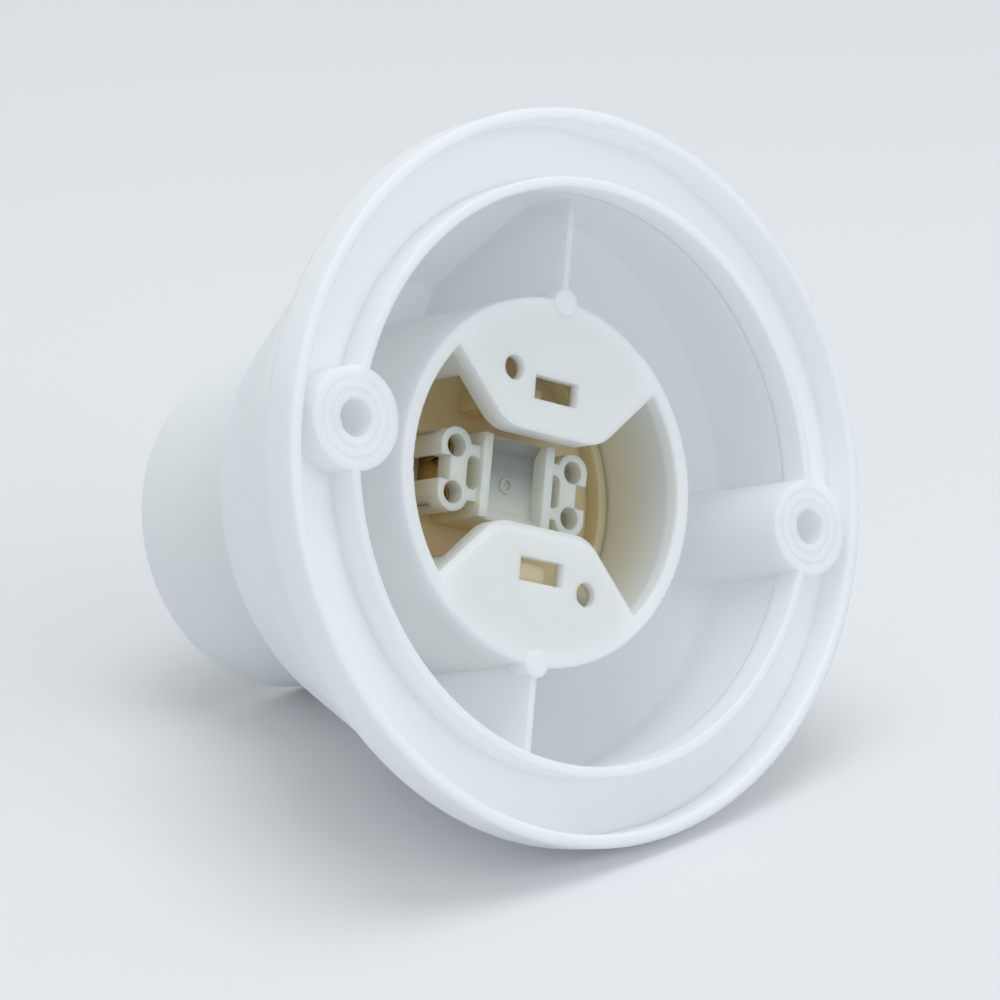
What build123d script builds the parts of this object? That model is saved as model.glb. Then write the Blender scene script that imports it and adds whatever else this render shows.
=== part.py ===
import os
from build123d import *

os.makedirs("parts", exist_ok=True)

# Frame: y = 0 is the mounting face on the wall, the barrel runs along +Y,
# X is the line of the two fixing screws and +Z is the side of the cable entry.

# Base and bell of the housing
rim_r = 44.0            # outer radius of the base, the 88 mm across that sets the scale
rim_t = 1.65            # thickness of the outer rim
rim_h = 6.0             # depth of the rim from the wall to the front of the base plate
plate_t = 1.8           # thickness of the base plate between rim and inner ring
ring_r = rim_r - 8.3    # outer radius of the inner ring
ring_ri = ring_r - 1.3  # inner radius of the inner ring at the wall
ledge_y = 4.0           # depth of the small ledge inside the ring
ledge_w = 0.6           # width of that ledge
bell_r = ring_r + 1.7   # outer radius of the bell behind the base plate
bell_t = 1.8            # wall of the bell
bell_y = 17.5           # depth where the straight wall turns into the cone
shoulder_r = bell_r - 8.4   # outer radius at the lamp side end of the cone
shoulder_y = 36.0       # depth of that end
dome_y = shoulder_y + 2.5   # depth where the shoulder meets the barrel

# Tube and barrel
tube_r = 22.4           # outer radius of the tube at its open mouth
bore_r = tube_r - 1.9   # inner radius of tube and barrel
mouth_y = 8.2           # depth of the mouth below the mounting face
barrel_r = tube_r - 0.4 # outer radius at the lamp end
barrel_end = 64.3       # depth of the lamp end
lip_t = 1.7             # wall at the lamp end

# Pads across the mouth: a thin plate with a skirt along its inner edge
pad_t = 1.6             # thickness of the plate
pad_edge = 5.6          # distance of the straight inner edge from the axis
pad_flat = 7.2          # half the length of that edge, its two sides then run out at 45 degrees
pad_round = 5.0         # radius between the edge and its sides
pad_bevel = 0.8         # bevel along the inner edge of the lower pad
skirt_t = 1.4           # thickness of the skirt
skirt_h = 3.5           # height of the skirt with the plate
web_x = 12.5            # outside this the skirt is solid and deeper
web_y = 16.6
window_w = 6.7          # latch window, along X
window_h = 2.95         # latch window, along Z
window_x = -0.2         # centre of the windows
window_z = 11.05
pad_hole_x = 6.9        # round hole beside the window
pad_hole_z = 12.7
pad_hole_r = 1.5

# Ribs, knobs and cable entry
rib_t = 0.9             # the two ribs between tube and ring
rib_y = mouth_y + 0.1   # depth of their free edge
knob_r = 1.7            # round knob where each rib meets the mouth
entry_w = 13.4          # width of the flat cable entry in the rim
entry_z = rim_r - 2.2   # distance of its flat face from the axis

# Screw bosses
screw_x = ring_r - 0.4  # distance of the two screw holes from the axis
boss_r = 6.0
hole_r = 2.2            # screw hole, entered from the wall side
hole_depth = rim_h - 0.8    # blind, because the outside of the bell shows no opening
groove_r1 = 4.6         # two fine ring grooves in the back face of each boss
groove_r2 = 3.3
groove_w = 0.3
groove_d = 0.15

# Terminal insert
fit = 0.25              # gap between the insert and the bore
ins_r = bore_r - fit
ins_dz = 0.6            # the photo shows the insert 0.6 mm towards the cable entry
face_y = 15.3           # faces of the terminal towers
wall_y = 14.6           # tops of the two walls beside the middle recess
panel_y = 16.8          # floor of the middle recess
floor_y = 24.0          # floor of the pockets
floor_t = 3.0
cup_y = 21.5            # upper edge of the insert's outer ring
cup_t = 1.2
pole_x = 9.15           # distance of the wire holes from the axis
pole_z = 2.87           # half the pitch of the two holes of one pole
tower_r = 2.3
wire_r = 1.4            # wire hole
wire_depth = 8.0
wall_x0 = 4.2           # walls beside the middle recess
wall_x1 = 5.5
wall_z = 5.2
slot_x1 = 7.3           # slot between wall and tower
slot_z = 2.05
notch_x = 9.85          # notch in the outer side of each tower
notch_z = 1.5
boss_top = 11.4         # outermost reach of the tower faces along X
post_w = 4.8            # latch posts behind the windows, along X
post_y = {1: 14.0, -1: 10.6}    # depth of the upper and the lower post

# Chamber in each tower for the brass bar and the two clamp springs
cham_x0 = 7.4
cham_x1 = 10.8
cham_z = 4.7
cham_y0 = 17.8
cham_y1 = 23.8
bar_t = 0.6
spring_t = 0.35
spring_w = 2.3

# Lamp side: thread sleeve and contacts
sleeve_y1 = 54.0
sleeve_r = 15.4
sleeve_ri = 13.5        # E27: the thread of a lamp cap is 27 mm across
thread_pitch = 3.629
thread_h = 1.2          # height of the thread ridge
thread_turns = 4
flange_t = 2.0
contact_t = 0.5
contact_w = 5.0


def at(y):
    return Plane(origin=(0, y, 0), x_dir=(1, 0, 0), z_dir=(0, -1, 0))


bell_ri = bell_r - bell_t
inner_knee = bell_y - 0.22 * bell_t
inner_shoulder = (shoulder_r - 0.75 * bell_t, shoulder_y - 0.79 * bell_t)
inner_end = dome_y - 1.08 * bell_t
base_floor = rim_h - plate_t


def pad_line(side, inset):
    edge = pad_edge + inset
    flat = pad_flat - 0.414 * inset
    return [
        (-flat, side * edge),
        (flat, side * edge),
        (flat + bore_r, side * (edge + bore_r)),
        (-flat - bore_r, side * (edge + bore_r)),
        (-flat, side * edge),
    ]


# Housing: one moulding
with BuildPart() as housing:
    with BuildSketch(Plane.XY) as shell_profile:
        with BuildLine():
            Polyline((rim_r - rim_t, base_floor), (rim_r - rim_t, 0), (rim_r, 0), (rim_r, rim_h))
            Polyline((rim_r, rim_h), (bell_r, rim_h), (bell_r, bell_y))
            Polyline((bell_r, bell_y), (shoulder_r, shoulder_y), (tube_r, dome_y))
            Polyline((tube_r, dome_y), (barrel_r, barrel_end), (barrel_r - lip_t, barrel_end))
            Polyline((barrel_r - lip_t, barrel_end), (bore_r, dome_y), (bore_r, mouth_y))
            Polyline((bore_r, mouth_y), (tube_r, mouth_y), (tube_r, inner_end))
            Polyline((tube_r, inner_end), inner_shoulder, (bell_ri, inner_knee))
            Polyline((bell_ri, inner_knee), (ring_ri + ledge_w, ledge_y), (ring_ri, ledge_y))
            Polyline((ring_ri, ledge_y), (ring_ri, 0), (ring_r, 0), (ring_r, base_floor))
            Line((ring_r, base_floor), (rim_r - rim_t, base_floor))
        make_face()
        soft = [v for v in shell_profile.vertices() if abs(v.Y) < 0.01 and v.X > ring_r + 1]
        fillet(soft, 0.5)
        outer = [v for v in shell_profile.vertices() if v.X > rim_r - 0.1 and abs(v.Y - rim_h) < 0.01]
        fillet(outer, 1.2)
        root = [v for v in shell_profile.vertices() if abs(v.X - bell_r) < 0.1 and abs(v.Y - rim_h) < 0.01]
        fillet(root, 0.8)
        knee = [v for v in shell_profile.vertices() if abs(v.X - bell_r) < 0.1 and abs(v.Y - bell_y) < 0.01]
        fillet(knee, 6.0)
        knee_in = [v for v in shell_profile.vertices() if abs(v.Y - inner_knee) < 0.01]
        fillet(knee_in, 2.0)
        shoulder = [v for v in shell_profile.vertices() if abs(v.Y - shoulder_y) < 0.01]
        fillet(shoulder, 1.8)
        neck = [v for v in shell_profile.vertices() if abs(v.Y - dome_y) < 0.01 and v.X > tube_r - 0.1]
        fillet(neck, 1.0)
        ends = [v for v in shell_profile.vertices() if v.Y > barrel_end - 0.1]
        fillet(ends, 0.6)
        mouth = [v for v in shell_profile.vertices() if abs(v.Y - mouth_y) < 0.01]
        fillet(mouth, 0.4)
        ring = [v for v in shell_profile.vertices() if abs(v.Y) < 0.01 and v.X < ring_r + 0.1]
        fillet(ring, 0.3)
    revolve(axis=Axis.Y)

# Everything inside the bell's outer surface, used to trim the screw bosses and the ribs
with BuildPart() as envelope:
    with BuildSketch(Plane.XY):
        with BuildLine():
            Polyline((0, 0), (rim_r - 0.5, 0), (rim_r - 0.5, rim_h - 0.4), (bell_r - 0.5, rim_h - 0.4))
            Polyline((bell_r - 0.5, rim_h - 0.4), (bell_r - 0.5, bell_y - 1), inner_shoulder, (tube_r, inner_end))
            Polyline((tube_r, inner_end), (0, inner_end), (0, 0))
        make_face()
    revolve(axis=Axis.Y)

with BuildPart() as bosses:
    with BuildSketch(at(0)):
        with Locations((screw_x, 0), (-screw_x, 0)):
            Circle(boss_r)
    extrude(amount=-(dome_y - 1))
    add(envelope.part, mode=Mode.INTERSECT)

# Ribs stand between tube and bell and follow the dome
with BuildPart() as ribs:
    with BuildSketch(at(rib_y)):
        with Locations((0, (tube_r + ring_r) / 2), (0, -(tube_r + ring_r) / 2)):
            Rectangle(rib_t, ring_r - tube_r + 1.6)
    extrude(amount=-(dome_y - rib_y - 1))
    add(envelope.part, mode=Mode.INTERSECT)

# Two pads close most of the mouth
with BuildPart() as pads:
    for side in (1, -1):
        with BuildSketch(at(mouth_y)) as outline:
            with BuildLine():
                Polyline(*pad_line(side, 0))
            make_face()
            fillet([v for v in outline.vertices() if abs(v.Y) < pad_edge + 0.1], pad_round)
            Circle(bore_r + 0.4, mode=Mode.INTERSECT)
        extrude(amount=-skirt_h)
        with BuildSketch(at(mouth_y)):
            with BuildLine():
                Polyline(*pad_line(side, 0))
            make_face()
            Circle(bore_r + 0.4, mode=Mode.INTERSECT)
            Rectangle(2 * web_x, 4 * bore_r, mode=Mode.SUBTRACT)
        extrude(amount=-(web_y - mouth_y))
    inner = [e for e in pads.edges() if abs(e.center().Y - mouth_y) < 0.01 and e.center().Z < 0]
    inner = [e for e in inner if (e @ 0.5).X ** 2 + (e @ 0.5).Z ** 2 < (0.8 * bore_r) ** 2]
    chamfer(inner, pad_bevel)
    for side in (1, -1):
        with BuildSketch(at(mouth_y + pad_t)) as hollow:
            with BuildLine():
                Polyline(*pad_line(side, skirt_t))
            make_face()
            fillet([v for v in hollow.vertices() if abs(v.Y) < pad_edge + skirt_t + 0.1], pad_round - skirt_t)
            Circle(bore_r, mode=Mode.INTERSECT)
            Rectangle(2 * web_x, 4 * bore_r, mode=Mode.INTERSECT)
        extrude(amount=-skirt_h, mode=Mode.SUBTRACT)
    with BuildSketch(at(mouth_y - 0.1)):
        with Locations((window_x, window_z), (window_x, -window_z)):
            Rectangle(window_w, window_h)
        with Locations((-pad_hole_x, pad_hole_z), (pad_hole_x, -pad_hole_z)):
            Circle(pad_hole_r)
    extrude(amount=-(pad_t + 0.2), mode=Mode.SUBTRACT)

with BuildPart() as entry:
    with BuildSketch(at(0.4)):
        with Locations((0, (entry_z + rim_r) / 2)):
            Rectangle(entry_w, rim_r - entry_z)
        Circle(rim_r - 0.6, mode=Mode.INTERSECT)
    extrude(amount=-(base_floor - 0.3))

with BuildPart() as knobs:
    with BuildSketch(at(mouth_y - 0.3)):
        with Locations((0, tube_r - 0.3), (0, -tube_r + 0.3)):
            Circle(knob_r)
    extrude(amount=-skirt_h)

with housing:
    add(bosses.part)
    add(ribs.part)
    add(pads.part)
    add(entry.part)
    add(knobs.part)
    with BuildSketch(at(-0.1)):
        with Locations((screw_x, 0), (-screw_x, 0)):
            Circle(hole_r)
    extrude(amount=-(hole_depth + 0.1), mode=Mode.SUBTRACT)
    for groove_r in (groove_r1, groove_r2):
        with BuildSketch(at(-0.1)):
            with Locations((screw_x, 0), (-screw_x, 0)):
                Circle(groove_r + groove_w / 2)
                Circle(groove_r - groove_w / 2, mode=Mode.SUBTRACT)
        extrude(amount=-(groove_d + 0.1), mode=Mode.SUBTRACT)

housing.part.label = "housing"
export_step(housing.part, "parts/housing.step")

# Terminal insert: ring, floor, two terminal towers and the walled recess between them
with BuildPart() as insert_body:
    with BuildSketch(at(floor_y)):
        Circle(ins_r)
    extrude(amount=-floor_t)
    with BuildSketch(at(cup_y)):
        Circle(ins_r)
        Circle(ins_r - cup_t, mode=Mode.SUBTRACT)
    extrude(amount=-(floor_y - cup_y + 0.1))
    with BuildSketch(at(face_y)):
        for side in (-1, 1):
            with Locations((side * pole_x, ins_dz + pole_z), (side * pole_x, ins_dz - pole_z)):
                Circle(tower_r)
            with Locations((side * (boss_top + wall_x0) / 2, ins_dz)):
                Rectangle(boss_top - wall_x0, 2 * pole_z + 1.2)
    extrude(amount=-(floor_y - face_y + 0.1))
    with BuildSketch(at(wall_y)):
        for side in (-1, 1):
            with Locations((side * (wall_x0 + wall_x1) / 2, ins_dz)):
                Rectangle(wall_x1 - wall_x0, 2 * wall_z)
    extrude(amount=-(floor_y - wall_y + 0.1))
    with BuildSketch(at(panel_y)):
        with Locations((0, ins_dz)):
            Rectangle(2 * wall_x0 + 0.2, 2 * wall_z)
    extrude(amount=-(floor_y - panel_y + 0.1))
    # Sloped ends of the recess
    for end in (-1, 1):
        with BuildSketch(Plane.YZ.offset(-wall_x0 - 0.1)):
            with BuildLine():
                z_in = ins_dz + end * 3.5
                z_out = ins_dz + end * wall_z
                Polyline((panel_y + 0.1, z_in), (panel_y - 1.2, z_out), (panel_y + 0.1, z_out), (panel_y + 0.1, z_in))
            make_face()
        extrude(amount=2 * wall_x0 + 0.2)
    # Latch posts behind the windows of the pads
    for side in (1, -1):
        with BuildSketch(at(post_y[side])):
            with Locations((window_x, side * window_z)):
                Rectangle(post_w, window_h - 0.5)
        extrude(amount=-(floor_y - post_y[side] + 0.1))
    # Low ring that marks the moulding gate on the panel
    with BuildSketch(at(panel_y - 0.25)):
        with Locations((0, ins_dz - 0.3)):
            Circle(1.0)
            Circle(0.62, mode=Mode.SUBTRACT)
    extrude(amount=-0.35)
    # Slots, notches and wire holes
    with BuildSketch(at(wall_y - 0.1)):
        for side in (-1, 1):
            with Locations((side * (wall_x1 + slot_x1) / 2, ins_dz)):
                RectangleRounded(slot_x1 - wall_x1, 2 * slot_z, 0.85)
    extrude(amount=-(floor_y - wall_y + floor_t - 2.2), mode=Mode.SUBTRACT)
    with BuildSketch(at(wall_y - 0.1)):
        for side in (-1, 1):
            with Locations((side * (notch_x + boss_top + 1) / 2, ins_dz)):
                Rectangle(boss_top + 1 - notch_x, 2 * notch_z)
    extrude(amount=-(floor_y - wall_y + 0.1), mode=Mode.SUBTRACT)
    with BuildSketch(at(wall_y - 0.1)):
        for side in (-1, 1):
            with Locations((side * pole_x, ins_dz + pole_z), (side * pole_x, ins_dz - pole_z)):
                Circle(wire_r)
    extrude(amount=-wire_depth, mode=Mode.SUBTRACT)

    with BuildSketch(at(cham_y0)):
        for side in (-1, 1):
            with Locations((side * (cham_x0 + cham_x1) / 2, ins_dz)):
                Rectangle(cham_x1 - cham_x0, 2 * cham_z - 0.4)
    extrude(amount=-(cham_y1 - cham_y0), mode=Mode.SUBTRACT)
    # Passage for the foot of each brass bar
    with BuildSketch(at(cham_y0)):
        for side in (-1, 1):
            with Locations((side * (cham_x0 + bar_t / 2 + 0.1), ins_dz)):
                Rectangle(bar_t + 0.2, contact_w + 0.2)
    extrude(amount=-(floor_y + floor_t - cham_y0 + 0.1), mode=Mode.SUBTRACT)

insert_body.part.label = "insert_body"
export_step(insert_body.part, "parts/insert_body.step")

# Brass bars: the wire is clamped against them, their foot passes through the floor
foot_y = floor_y + floor_t
bars = {}
for side, name in ((-1, "terminal_bar_left"), (1, "terminal_bar_right")):
    with BuildPart() as bars[name]:
        with BuildSketch(at(cham_y0 + 0.15)):
            with Locations((side * (cham_x0 + bar_t / 2 + 0.1), ins_dz)):
                Rectangle(bar_t, 2 * cham_z - 0.8)
        extrude(amount=-(cham_y1 - cham_y0 - 0.3))
        with BuildSketch(at(cham_y1 - 1)):
            with Locations((side * (cham_x0 + bar_t / 2 + 0.1), ins_dz)):
                Rectangle(bar_t, contact_w)
        extrude(amount=-(foot_y - cham_y1 + 1))
    bars[name].part.label = name
    export_step(bars[name].part, f"parts/{name}.step")

# Clamp springs: one bent leaf behind each wire hole
leaf_x = cham_x1 - spring_t
for side, pole in ((-1, "left"), (1, "right")):
    for end, place in ((1, "upper"), (-1, "lower")):
        with BuildPart() as leaf:
            with BuildSketch(Plane.XY.offset(ins_dz + end * pole_z - spring_w / 2)):
                with BuildLine():
                    Polyline(
                        (side * leaf_x, cham_y1 - 0.3),
                        (side * leaf_x, cham_y0 + 0.9),
                        (side * (leaf_x - 0.5), cham_y0 + 0.4),
                        (side * (cham_x0 + bar_t + 0.4), cham_y1 - 2.0),
                    )
                    offset(amount=spring_t / 2, side=Side.BOTH)
                make_face()
            extrude(amount=spring_w)
        leaf.part.label = f"clamp_spring_{pole}_{place}"
        export_step(leaf.part, f"parts/clamp_spring_{pole}_{place}.step")

# Thread sleeve with a real E27 ridge inside and a flange that centres it in the bore
with BuildPart() as thread_sleeve:
    with BuildSketch(at(foot_y)):
        Circle(sleeve_r)
        Circle(sleeve_ri, mode=Mode.SUBTRACT)
    extrude(amount=-(sleeve_y1 - foot_y))
    with BuildSketch(at(foot_y)):
        Circle(ins_r)
        Circle(sleeve_ri, mode=Mode.SUBTRACT)
    extrude(amount=-flange_t)
    with BuildLine():
        helix = Helix(
            pitch=thread_pitch,
            height=thread_pitch * thread_turns,
            radius=sleeve_ri + 0.05,
            center=(0, sleeve_y1 - 2.5 - thread_pitch * thread_turns, 0),
            direction=(0, 1, 0),
        )
    with BuildSketch(Plane(origin=helix @ 0, z_dir=helix % 0)):
        Circle(thread_h)
    sweep(path=helix, is_frenet=True)

thread_sleeve.part.label = "thread_sleeve"
export_step(thread_sleeve.part, "parts/thread_sleeve.step")

# Contact springs, bent from strip and pressed on the feet of the bars
contacts = {
    "centre_contact": [(-9.2, 0.25), (-5.2, 0.25), (-3.4, 3.2), (-1.6, 4.4), (1.6, 4.4), (2.6, 3.8)],
    "side_contact": [(6.6, 0.25), (11.2, 0.25), (12.0, 1.2), (12.3, 5.0), (11.4, 6.6), (11.9, 7.6)],
}
for name, line in contacts.items():
    with BuildPart() as strip:
        with BuildSketch(Plane.XY.offset(ins_dz - contact_w / 2)):
            with BuildLine():
                Polyline(*[(x, foot_y + y) for x, y in line])
                offset(amount=contact_t / 2, side=Side.BOTH)
            make_face()
        extrude(amount=contact_w)
    strip.part.label = name
    export_step(strip.part, f"parts/{name}.step")
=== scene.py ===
import bpy
from mathutils import Matrix, Vector

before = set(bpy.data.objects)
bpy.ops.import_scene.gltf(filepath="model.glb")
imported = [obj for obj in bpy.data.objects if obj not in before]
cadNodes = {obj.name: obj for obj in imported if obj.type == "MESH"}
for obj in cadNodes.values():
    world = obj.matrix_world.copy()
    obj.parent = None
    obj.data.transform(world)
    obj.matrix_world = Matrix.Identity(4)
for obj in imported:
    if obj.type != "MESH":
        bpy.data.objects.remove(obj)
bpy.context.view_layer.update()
print("frame loaded,", len(cadNodes), "pieces")

mm = 0.001


def toLinear(hexText):
    parts = [int(hexText[i:i + 2], 16) / 255 for i in (1, 3, 5)]
    return [p / 12.92 if p <= 0.04045 else ((p + 0.055) / 1.055) ** 2.4 for p in parts] + [1.0]


def addNode(tree, kind, settings=None, links=None):
    # A setting is an input socket, by name or number, where the node has one of that name, else one of its options
    node = tree.nodes.new(kind)
    for name, value in (settings or {}).items():
        if isinstance(name, int) or name in node.inputs:
            node.inputs[name].default_value = value
        else:
            setattr(node, name, value)
    for name, source in (links or {}).items():
        tree.links.new(source, node.inputs[name])
    return node


def newMaterial(name):
    material = bpy.data.materials.new(name)
    material.use_nodes = True
    material.node_tree.nodes.clear()
    return material, material.node_tree


# Camera, fitted to the outlines of rim, ring, mouth and lamp end
viewpoint = {
    "place": (-0.2597, -0.3126, -0.0785),
    "right": (0.7738, -0.6279, 0.0835),
    "up": (-0.1779, -0.0889, 0.9800),
    "lens": 126.0,
    "sensor": 36.0,
    "clip": 0.01,
}

scene = bpy.context.scene
right = Vector(viewpoint["right"]).normalized()
back = right.cross(Vector(viewpoint["up"])).normalized()
top = back.cross(right)
cameraData = bpy.data.cameras.new("photoCamera")
cameraData.lens = viewpoint["lens"]
cameraData.sensor_width = viewpoint["sensor"]
cameraData.clip_start = viewpoint["clip"]
camera = bpy.data.objects.new("photoCamera", cameraData)
turn = Matrix((right, top, back)).transposed().to_4x4()
camera.matrix_world = Matrix.Translation(Vector(viewpoint["place"])) @ turn
scene.collection.objects.link(camera)
scene.camera = camera
scene.view_settings.view_transform = "Standard"

# Light goes back and forth many times between the white walls of the bell, and too few bounces leave it dark
scene.cycles.max_bounces = 9
scene.cycles.diffuse_bounces = 8
print("camera placed")


def overlap(tree, areas):
    # Share of the surface that lies in all the areas
    share = areas[0]
    for area in areas[1:]:
        share = addNode(tree, "ShaderNodeMath", {"operation": "MULTIPLY"}, {0: share, 1: area}).outputs["Value"]
    return share


def mouldedPlastic(name, look, paint):
    # A satin moulded skin: faint streaks of the melt, grain of the eroded mould and a small radius on each edge
    material, tree = newMaterial(name)
    place = addNode(tree, "ShaderNodeTexCoord").outputs["Object"]
    axes = addNode(tree, "ShaderNodeSeparateXYZ", {}, {"Vector": place}).outputs
    grain = addNode(
        tree, "ShaderNodeTexNoise", {"Scale": 1 / (look["grainMm"] * mm), "Detail": look["grainDetail"]},
        {"Vector": place},
    ).outputs["Fac"]
    flow = addNode(
        tree, "ShaderNodeTexNoise", {"Scale": 1 / (look["flowMm"] * mm), "Detail": look["flowDetail"]},
        {"Vector": place},
    ).outputs["Fac"]
    plain = addNode(
        tree, "ShaderNodeMix",
        {"data_type": "RGBA", 6: toLinear(look["colour"]), 7: toLinear(look["colourDeep"])}, {0: flow},
    ).outputs[2]
    low, high = look["roughness"]
    satin = addNode(
        tree, "ShaderNodeMapRange", {"From Min": 0.3, "From Max": 0.7, "To Min": low, "To Max": high},
        {"Value": flow},
    ).outputs["Result"]
    edge = addNode(
        tree, "ShaderNodeBevel", {"samples": look["edgeSamples"], "Radius": look["edgeMm"] * mm},
    ).outputs["Normal"]
    strength, heightMm = look["grainRelief"]
    skin = addNode(
        tree, "ShaderNodeBump", {"Strength": strength, "Distance": heightMm * mm}, {"Height": grain, "Normal": edge},
    ).outputs["Normal"]
    shader = addNode(
        tree, "ShaderNodeBsdfPrincipled",
        {
            "IOR": look["ior"], "Subsurface Weight": look["light"],
            "Subsurface Radius": look["lightColour"], "Subsurface Scale": look["depthMm"] * mm,
        },
        {"Base Color": paint(tree, look, axes, plain), "Roughness": satin, "Normal": skin},
    )
    addNode(tree, "ShaderNodeOutputMaterial", {}, {"Surface": shader.outputs["BSDF"]})
    return material


# Housing: PBT, injection-moulded. The eye sees a milky white with a satin skin: light goes a few millimetres into
# the thin walls and softens every edge. Inside the tube a darker white turning beige towards the insert is painted
# shade
housingLook = {
    "colour": "#fdfefe",
    "colourDeep": "#fafbfc",
    # Painted shade inside the tube: a darker white at the mouth, beige deep down
    "tubeShadeColour": "#e6e8e7",
    "tubeDeepShadeColour": "#eae2cf",
    "tubeShadeRadiusMm": (21.4, 20.9),     # the painted shade begins at the first radius and is full at the second
    "tubeShadeMouthMm": (9.8, 10.6),       # depths between which the painted shade sets in
    "tubeFloorMm": (9.8, 24.0),       # depths between which it turns from the first colour to the deep one
    "tubeShadeEndMm": (28.0, 25.0),        # it is gone at the first depth, on the lamp's side of the insert
    "roughness": (0.30, 0.42),
    "grainMm": 0.35,                  # really about 0.04 mm, drawn coarser so that it shows
    "grainDetail": 3.0,
    "grainRelief": (0.15, 0.02),      # strength of the relief, height in mm
    "flowMm": 9.0,                    # streaks of the melt, about as wide as the ribs are long
    "flowDetail": 2.0,
    "edgeMm": 0.25,
    "edgeSamples": 2,                 # few, to keep the render short
    "ior": 1.51,
    "light": 1.0,
    "lightColour": (1.0, 1.0, 1.0),
    "depthMm": 3.2,
}


def paintHousing(tree, look, axes, plain):
    # Painted shade: inside the tube the white is painted darker, turning beige towards the insert
    across = addNode(tree, "ShaderNodeCombineXYZ", {}, {"X": axes["X"], "Y": axes["Z"]}).outputs["Vector"]
    radius = addNode(tree, "ShaderNodeVectorMath", {"operation": "LENGTH"}, {0: across}).outputs["Value"]
    areas = []
    for limits, measure in (("tubeShadeRadiusMm", radius), ("tubeShadeMouthMm", axes["Y"]), ("tubeShadeEndMm", axes["Y"])):
        begin, full = look[limits]
        areas.append(addNode(
            tree, "ShaderNodeMapRange", {"From Min": begin * mm, "From Max": full * mm}, {"Value": measure},
        ).outputs["Result"])
    begin, full = look["tubeFloorMm"]
    depth = addNode(
        tree, "ShaderNodeMapRange", {"From Min": begin * mm, "From Max": full * mm}, {"Value": axes["Y"]},
    ).outputs["Result"]
    tube = addNode(
        tree, "ShaderNodeMix",
        {"data_type": "RGBA", 6: toLinear(look["tubeShadeColour"]), 7: toLinear(look["tubeDeepShadeColour"])}, {0: depth},
    ).outputs[2]
    share = overlap(tree, areas)
    return addNode(tree, "ShaderNodeMix", {"data_type": "RGBA"}, {0: share, 6: plain, 7: tube}).outputs[2]


# Insert: natural PBT, injection-moulded. The eye sees a nearly matt greenish ivory. The ochre down in the pockets
# and the grey on the panel between the rails are painted shade
insertLook = {
    "colour": "#edeee6",
    "colourDeep": "#e4e5da",
    # Painted shade: ochre in the pockets
    "pocketShadeColour": "#ebdab2",
    "pocketShadeMm": (15.8, 22.0),         # depths between which the painted ochre shade sets in
    "pocketShadeEndMm": (25.5, 24.2),      # it is gone at the first depth, on the lamp's side
    "sideShadeMm": (6.4, 8.0),             # beside the towers the painted shade sets in at these distances, at any depth
    "middleMm": 0.6,                  # middle of the insert along Z
    # Painted shade: grey on the panel, darkest at its upper end
    "panelShadeColour": "#989a95",
    "panelShadeWideMm": (4.2, 4.05),       # the painted grey shade begins at the first and is full at the second
    "panelShadeHighMm": (5.25, 5.1),
    "panelShadeDeepMm": (17.0, 16.9),
    "panelShadeFadeMm": (-4.2, 1.575),     # none at the lower end, full above the middle
    "roughness": (0.42, 0.56),
    "grainMm": 0.3,                   # really about 0.04 mm, drawn coarser so that it shows
    "grainDetail": 4.0,
    "grainRelief": (0.2, 0.03),
    "flowMm": 5.0,                    # streaks of the melt, about a tower wide
    "flowDetail": 2.0,
    "edgeMm": 0.18,
    "edgeSamples": 2,                 # few, to keep the render short
    "ior": 1.51,
    "light": 0.8,
    "lightColour": (1.0, 0.9, 0.7),
    "depthMm": 3.0,
}


def paintInsert(tree, look, axes, plain):
    height = addNode(
        tree, "ShaderNodeMath", {"operation": "SUBTRACT", 1: look["middleMm"] * mm}, {0: axes["Z"]},
    ).outputs["Value"]
    apart = addNode(tree, "ShaderNodeMath", {"operation": "ABSOLUTE"}, {0: height}).outputs["Value"]
    sideways = addNode(tree, "ShaderNodeMath", {"operation": "ABSOLUTE"}, {0: axes["X"]}).outputs["Value"]
    area = {}
    for limits, measure in (
        ("sideShadeMm", apart), ("pocketShadeEndMm", axes["Y"]), ("panelShadeWideMm", sideways), ("panelShadeHighMm", apart),
        ("panelShadeDeepMm", axes["Y"]), ("panelShadeFadeMm", height),
    ):
        begin, full = look[limits]
        area[limits] = addNode(
            tree, "ShaderNodeMapRange", {"From Min": begin * mm, "From Max": full * mm}, {"Value": measure},
        ).outputs["Result"]
    # Painted shade: ochre where the insert is deep or far from its towers
    begin, full = look["pocketShadeMm"]
    deep = addNode(
        tree, "ShaderNodeMapRange",
        {"interpolation_type": "SMOOTHSTEP", "From Min": begin * mm, "From Max": full * mm}, {"Value": axes["Y"]},
    ).outputs["Result"]
    either = addNode(
        tree, "ShaderNodeMath", {"operation": "MAXIMUM"}, {0: deep, 1: area["sideShadeMm"]},
    ).outputs["Value"]
    pocketShadeShare = overlap(tree, [either, area["pocketShadeEndMm"]])
    withPocketShade = addNode(
        tree, "ShaderNodeMix", {"data_type": "RGBA", 7: toLinear(look["pocketShadeColour"])}, {0: pocketShadeShare, 6: plain},
    ).outputs[2]
    # Painted shade on the panel between the rails: grey at its upper end, plain at its lower end
    panelShadeShare = overlap(tree, [area[name] for name in ("panelShadeWideMm", "panelShadeHighMm", "panelShadeDeepMm", "panelShadeFadeMm")])
    return addNode(
        tree, "ShaderNodeMix", {"data_type": "RGBA", 7: toLinear(look["panelShadeColour"])}, {0: panelShadeShare, 6: withPocketShade},
    ).outputs[2]


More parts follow.
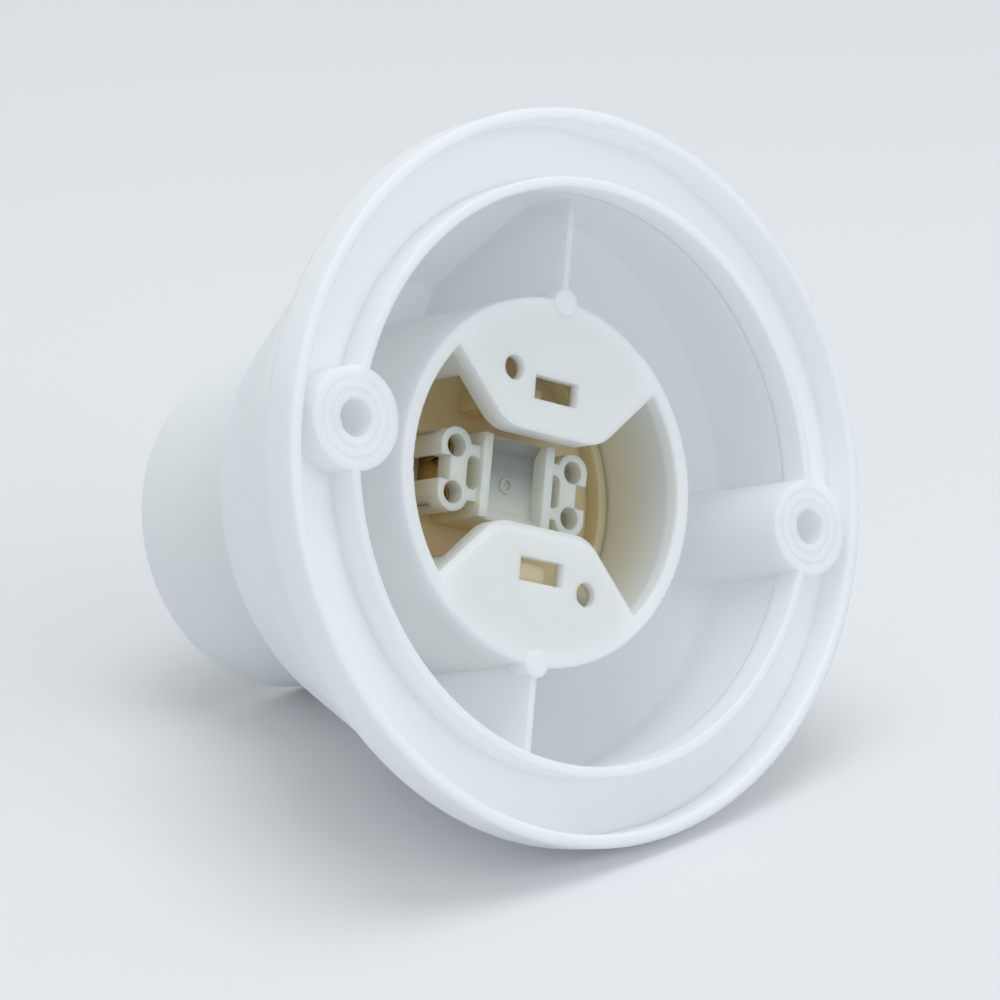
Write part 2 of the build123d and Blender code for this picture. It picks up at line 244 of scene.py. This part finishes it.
# Strip metal: stamped from rolled sheet. The eye sees fine lines along the strip and faint clouds of tarnish
stripLooks = {
    "rolledBrass": {
        "colour": "#e3c47c", "stain": "#b8924e", "roughness": (0.24, 0.38), "lineMm": 0.08, "lineLong": 9.0,
    },
    "rolledBronze": {
        "colour": "#d9ac78", "stain": "#a9764a", "roughness": (0.26, 0.40), "lineMm": 0.08, "lineLong": 9.0,
    },
    "rolledSpringSteel": {
        "colour": "#c3c6ca", "stain": "#9ba0a6", "roughness": (0.22, 0.36), "lineMm": 0.07, "lineLong": 12.0,
    },
}
tarnish = {"cloudMm": 2.5, "detail": 3.0, "reliefStrength": 0.2, "reliefMm": 0.01}


def stripMetal(name, look):
    material, tree = newMaterial(name)
    place = addNode(tree, "ShaderNodeTexCoord").outputs["Object"]
    along = addNode(
        tree, "ShaderNodeMapping", {"Scale": (1.0, 1 / look["lineLong"], 1.0)}, {"Vector": place},
    ).outputs["Vector"]
    # Rolling lines are really about 0.02 mm apart, drawn coarser so that they show
    lines = addNode(
        tree, "ShaderNodeTexNoise", {"Scale": 1 / (look["lineMm"] * mm), "Detail": tarnish["detail"]},
        {"Vector": along},
    ).outputs["Fac"]
    cloud = addNode(
        tree, "ShaderNodeTexNoise", {"Scale": 1 / (tarnish["cloudMm"] * mm), "Detail": tarnish["detail"]},
        {"Vector": place},
    ).outputs["Fac"]
    tint = addNode(
        tree, "ShaderNodeMix",
        {"data_type": "RGBA", 6: toLinear(look["colour"]), 7: toLinear(look["stain"])}, {0: cloud},
    ).outputs[2]
    low, high = look["roughness"]
    polish = addNode(
        tree, "ShaderNodeMapRange", {"From Min": 0.3, "From Max": 0.7, "To Min": low, "To Max": high},
        {"Value": lines},
    ).outputs["Result"]
    relief = addNode(
        tree, "ShaderNodeBump", {"Strength": tarnish["reliefStrength"], "Distance": tarnish["reliefMm"] * mm},
        {"Height": lines},
    ).outputs["Normal"]
    shader = addNode(
        tree, "ShaderNodeBsdfPrincipled", {"Metallic": 1.0},
        {"Base Color": tint, "Roughness": polish, "Normal": relief},
    )
    addNode(tree, "ShaderNodeOutputMaterial", {}, {"Surface": shader.outputs["BSDF"]})
    return material


whitePbt = mouldedPlastic("mouldedWhitePbt", housingLook, paintHousing)
ivoryPbt = mouldedPlastic("mouldedIvoryPbt", insertLook, paintInsert)
strips = {name: stripMetal(name, look) for name, look in stripLooks.items()}
finishes = {
    "housing": whitePbt,
    "insert_body": ivoryPbt,
    "thread_sleeve": ivoryPbt,
    "terminal_bar_left": strips["rolledBrass"],
    "terminal_bar_right": strips["rolledBrass"],
    "centre_contact": strips["rolledBronze"],
    "side_contact": strips["rolledBronze"],
}
for name, node in cadNodes.items():
    finish = finishes.get(name, strips["rolledSpringSteel"])     # the rest are the clamp springs
    node.data.materials.clear()
    node.data.materials.append(finish)
print("materials made")


def addStudioRay(tree):
    # 1 for a ray that shows the backdrop: straight to the camera, through glass or off a glossy face
    ray = addNode(tree, "ShaderNodeLightPath").outputs
    seen = addNode(
        tree, "ShaderNodeMath", {"operation": "ADD", "use_clamp": True},
        {0: ray["Is Camera Ray"], 1: ray["Is Transmission Ray"]},
    ).outputs["Value"]
    return addNode(
        tree, "ShaderNodeMath", {"operation": "ADD", "use_clamp": True}, {0: seen, 1: ray["Is Glossy Ray"]},
    ).outputs["Value"]


# Table: matt paper. The part lies on its rim and on the lamp end, so the table is tilted in the part's own frame
tableLook = {
    "up": (-0.376, -0.349, 0.858),
    "height": -0.0430,
    "half": 3.0,
    "colour": "#d6d8db",              # what it throws back onto the part
    "seenColour": "#f2eeef",          # what the camera sees, so that the background is pale without more light
    "roughness": 0.85,
}

tableUp = Vector(tableLook["up"]).normalized()
across = right - tableUp * right.dot(tableUp)
across.normalize()
away = tableUp.cross(across)
tableCentre = tableUp * tableLook["height"]
corners = [
    tableCentre + (across * x + away * y) * tableLook["half"] for x, y in ((-1, -1), (1, -1), (1, 1), (-1, 1))
]
tableMesh = bpy.data.meshes.new("table")
tableMesh.from_pydata(corners, [], [(0, 1, 2, 3)])
table = bpy.data.objects.new("table", tableMesh)
scene.collection.objects.link(table)
material, tree = newMaterial("mattPaperTable")
tone = addNode(
    tree, "ShaderNodeMix",
    {"data_type": "RGBA", 6: toLinear(tableLook["colour"]), 7: toLinear(tableLook["seenColour"])},
    {0: addStudioRay(tree)},
).outputs[2]
paper = addNode(tree, "ShaderNodeBsdfPrincipled", {"Roughness": tableLook["roughness"]}, {"Base Color": tone})
clear = addNode(tree, "ShaderNodeBsdfTransparent")
behind = addNode(tree, "ShaderNodeNewGeometry").outputs["Backfacing"]
oneSided = addNode(    # seen from below the table is clear, so that the part shows
    tree, "ShaderNodeMixShader", {}, {0: behind, 1: paper.outputs["BSDF"], 2: clear.outputs["BSDF"]},
)
addNode(tree, "ShaderNodeOutputMaterial", {}, {"Surface": oneSided.outputs["Shader"]})
tableMesh.materials.append(material)

# Studio: an even pale world and two softboxes, one overhead and one in front on the right
studioLook = {
    "light": "#f2fbff",
    "world": 0.65,
    "backdrop": "#e7e9ec",
    "distance": 1.15,
    "size": 0.8,
    "boxes": {    # watts, and the way from the part: right, away from the camera, up from the table
        "topSoftbox": (4.1, (0.0, 0.0, 1.0)),
        "frontSoftbox": (2.2, (0.8, -0.8, 0.6)),
    },
}

world = bpy.data.worlds.new("studio")
scene.world = world
world.use_nodes = True
tree = world.node_tree
tree.nodes.clear()
soft = addNode(
    tree, "ShaderNodeBackground", {"Color": toLinear(studioLook["light"]), "Strength": studioLook["world"]},
)
plain = addNode(tree, "ShaderNodeBackground", {"Color": toLinear(studioLook["backdrop"]), "Strength": 1.0})
pick = addNode(
    tree, "ShaderNodeMixShader", {},
    {0: addStudioRay(tree), 1: soft.outputs["Background"], 2: plain.outputs["Background"]},
)
addNode(tree, "ShaderNodeOutputWorld", {}, {"Surface": pick.outputs["Shader"]})

for name, (power, way) in studioLook["boxes"].items():
    aim = (across * way[0] + away * way[1] + tableUp * way[2]).normalized()
    lampData = bpy.data.lights.new(name, "AREA")
    lampData.shape = "DISK"
    lampData.size = studioLook["size"]
    lampData.energy = power
    lampData.color = toLinear(studioLook["light"])[:3]
    lamp = bpy.data.objects.new(name, lampData)
    facing = aim.to_track_quat("Z", "Y").to_matrix().to_4x4()
    lamp.matrix_world = Matrix.Translation(aim * studioLook["distance"]) @ facing
    scene.collection.objects.link(lamp)
print("table and lamps placed")
